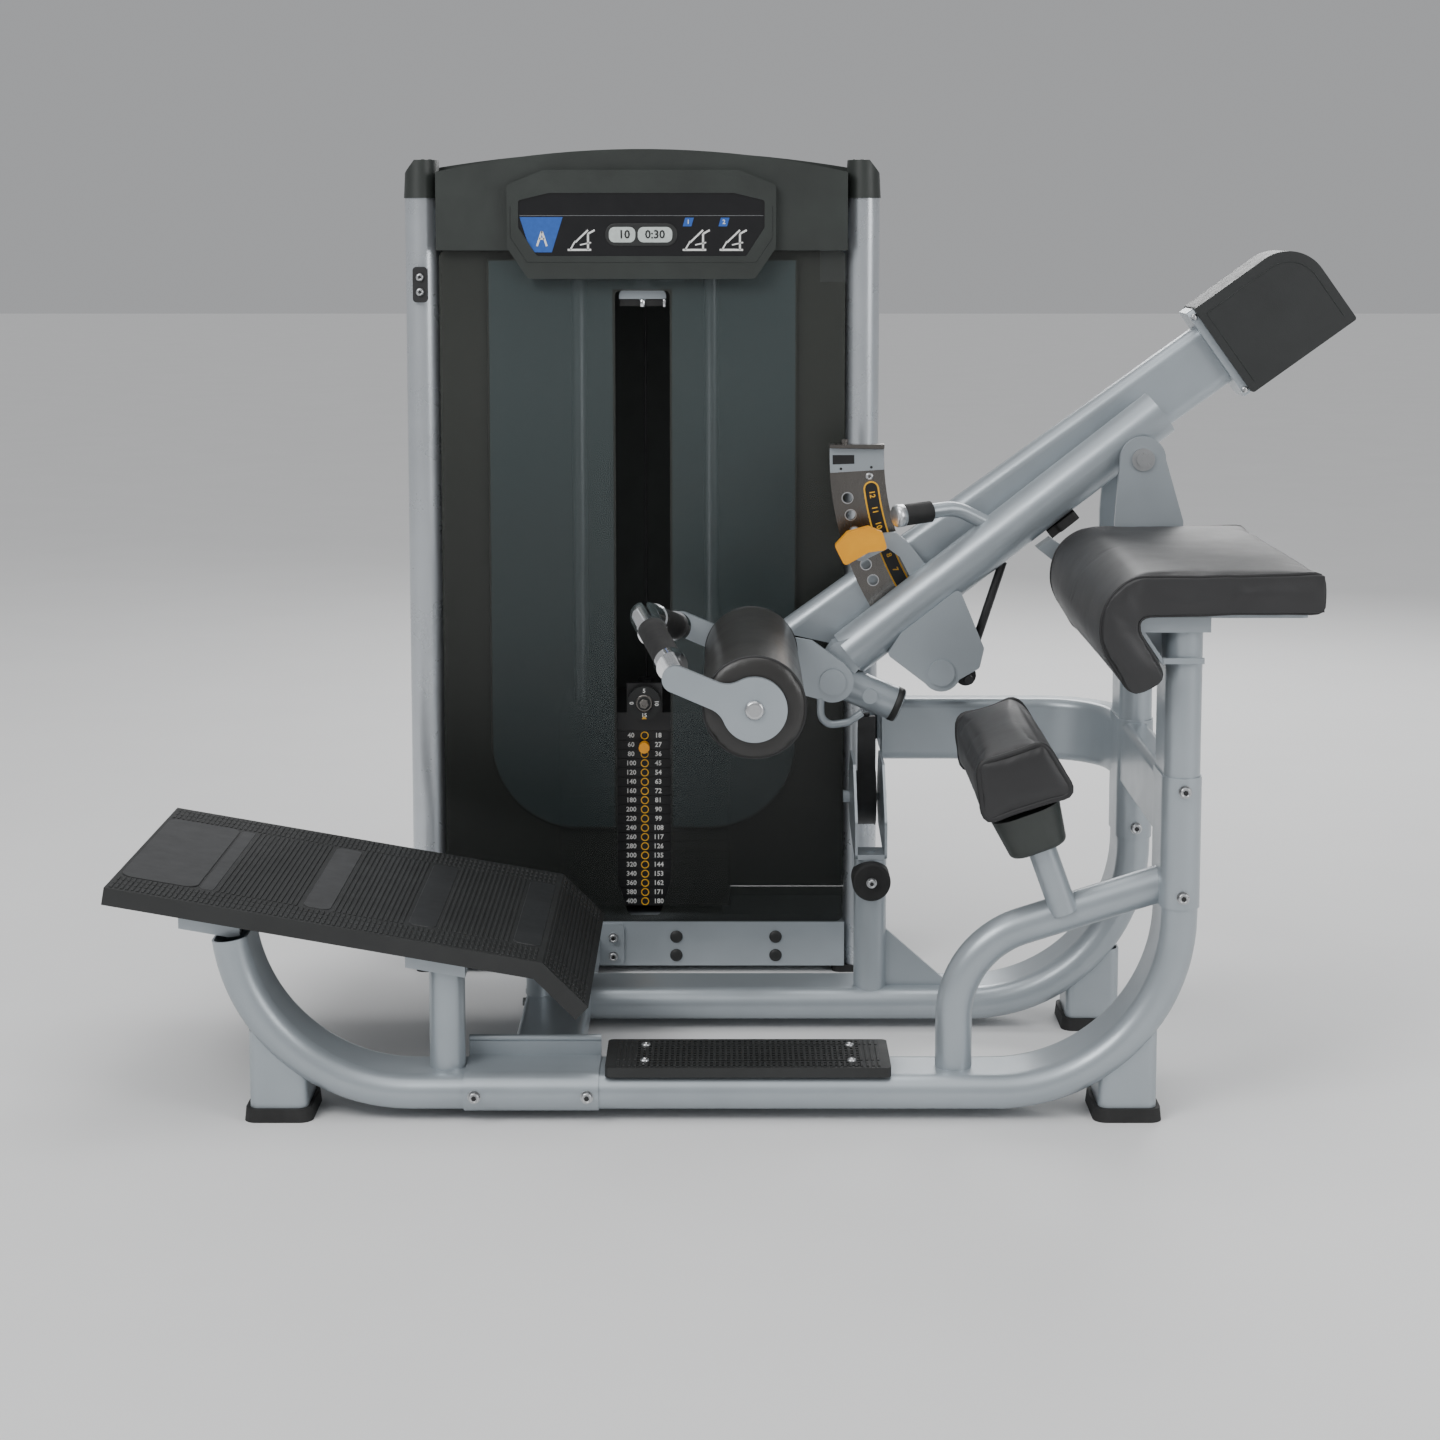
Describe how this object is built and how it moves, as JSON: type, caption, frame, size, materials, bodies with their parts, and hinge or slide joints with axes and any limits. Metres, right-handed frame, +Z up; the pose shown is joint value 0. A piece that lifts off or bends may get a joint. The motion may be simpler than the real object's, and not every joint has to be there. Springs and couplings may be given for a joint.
{
  "type": "hip thrust machine",
  "caption": "Selectorized hip thrust machine with a footplate, roller on a lifting arm, counterweighted lever, back pad, hip bolster and a shrouded weight tower.",
  "frame": {"origin": "on the floor, in the middle of the machine's bounding box", "axes": "+X from the footplate to the back pad, +Y from the operator's side to the weight tower, +Z up"},
  "size_m": [1.8766, 1.1, 1.377],
  "materials": {
    "frame_paint": "silver-grey powder coat",
    "black_plastic": "fine textured moulding",
    "olive_plastic": "satin moulding",
    "gloss_panel": "gloss",
    "tinted_shroud": "dark teal tint",
    "vinyl": "black upholstery",
    "rubber_black": "moulded",
    "steel": "satin",
    "chrome": "polished",
    "iron_black": "black satin",
    "dark_steel": "polished dark",
    "yellow_plastic": "orange-yellow moulding",
    "belt": "woven"
  },
  "bodies": {
    "frame": {"accessory_bracket": "iron_black", "back_pad": "vinyl", "belt_post": "frame_paint", "bolster_base": "olive_plastic", "bolster_support": "frame_paint", "column_crossbar": "frame_paint", "console_frame": "olive_plastic", "console_panel": "gloss_panel", "cross_tube": "frame_paint", "drive_belt": "belt", "far_rail": "frame_paint", "footplate": "black_plastic", "footplate_frame": "frame_paint", "frame_bolts": "steel", "front_shroud": "tinted_shroud", "guide_rods": "steel", "hip_bolster_pad": "vinyl", "joint_sleeves": "frame_paint", "legs": "frame_paint", "near_rail": "frame_paint", "pad_carrier": "frame_paint", "pivot_fork": "frame_paint", "pivot_shaft": "steel", "post_bumper": "rubber_black", "pulley_fork": "frame_paint", "rear_shroud": "olive_plastic", "resting_plates": "iron_black", "rubber_feet": "rubber_black", "rubber_stop": "rubber_black", "side_rail": "frame_paint", "stack_cable": "belt", "step_tread": "black_plastic", "top_cover": "olive_plastic", "tower_base": "frame_paint", "tower_head": "frame_paint", "tower_posts": "frame_paint"},
    "user_arm": {"user_tube": "frame_paint", "adjuster_bracket": "frame_paint", "arm_strut": "iron_black", "assist_handle": "frame_paint", "assist_grip": "rubber_black", "stub_tube": "frame_paint"},
    "lever_arm": {"lever_beam": "frame_paint", "counterweight": "iron_black", "sector_plate": "dark_steel"},
    "position_pin": {"position_pin": "steel", "pin_handle": "yellow_plastic"},
    "carriage": {"carrier_plate": "frame_paint", "roller_axle": "steel", "link_plates": "frame_paint", "handle_bar": "chrome", "handle_grips": "rubber_black"},
    "roller": {"roller_pad": "vinyl"},
    "stack": {"moving_plates": "iron_black"},
    "selector": {"selector_pin": "yellow_plastic"},
    "dial": {"addon_dial": "black_plastic"},
    "front_pulley": {"front_pulley": "iron_black"},
    "rear_pulley": {"rear_pulley": "iron_black"},
    "head_pulley_left": {"head_pulley_left": "iron_black"},
    "head_pulley_right": {"head_pulley_right": "iron_black"}
  },
  "joints": [
    {"name": "arm_lift", "type": "hinge", "parent": "frame", "child": "user_arm", "pos_m": [0.59, 0.08, 0.888], "axis": [0, 1, 0], "range_deg": [0, 34]},
    {"name": "start_position", "type": "hinge", "parent": "user_arm", "child": "lever_arm", "pos_m": [0.59, 0.08, 0.888], "axis": [0, 1, 0], "range_deg": [-10.38, 6.92]},
    {"name": "pin_pull", "type": "slide", "parent": "user_arm", "child": "position_pin", "axis": [0, -1, 0], "range_m": [0, 0.02], "stiffness_N_per_m": 600},
    {"name": "carriage_pivot", "type": "hinge", "parent": "user_arm", "child": "carriage", "pos_m": [0.103, 0.03, 0.534], "axis": [0, 1, 0], "range_deg": [-12, 12]},
    {"name": "roller_spin", "type": "hinge", "parent": "carriage", "child": "roller", "pos_m": [-0.027, -0.237, 0.586], "axis": [0, 1, 0], "continuous": true},
    {"name": "stack_lift", "type": "slide", "parent": "frame", "child": "stack", "axis": [0, 0, 1], "range_m": [0, 0.27], "deforming": ["stack_cable"]},
    {"name": "selector_pull", "type": "slide", "parent": "stack", "child": "selector", "axis": [0, -1, 0], "range_m": [0, 0.16]},
    {"name": "dial_turn", "type": "hinge", "parent": "stack", "child": "dial", "pos_m": [-0.20375, 0.268, 0.456], "axis": [0, 1, 0], "range_deg": [0, 270]},
    {"name": "front_pulley_spin", "type": "hinge", "parent": "frame", "child": "front_pulley", "pos_m": [0.1595, 0.112, 0.329], "axis": [1, 0, 0], "range_deg": [-400, 400]},
    {"name": "rear_pulley_spin", "type": "hinge", "parent": "frame", "child": "rear_pulley", "pos_m": [0.1595, 0.3582, 0.317], "axis": [1, 0, 0], "range_deg": [-600, 600]},
    {"name": "head_pulley_left_spin", "type": "hinge", "parent": "frame", "child": "head_pulley_left", "pos_m": [-0.15925, 0.39, 1.18], "axis": [0, 1, 0], "range_deg": [-400, 400]},
    {"name": "head_pulley_right_spin", "type": "hinge", "parent": "frame", "child": "head_pulley_right", "pos_m": [0.115, 0.39, 1.18], "axis": [0, 1, 0], "range_deg": [-400, 400]}
  ],
  "couplings": [
    {"joint": "stack_lift", "follows": "arm_lift", "m_per_rad": 0.43},
    {"joint": "front_pulley_spin", "follows": "arm_lift", "ratio": -9.8},
    {"joint": "rear_pulley_spin", "follows": "arm_lift", "ratio": -13.5},
    {"joint": "head_pulley_left_spin", "follows": "arm_lift", "ratio": 9.8},
    {"joint": "head_pulley_right_spin", "follows": "arm_lift", "ratio": 9.8}
  ]
}
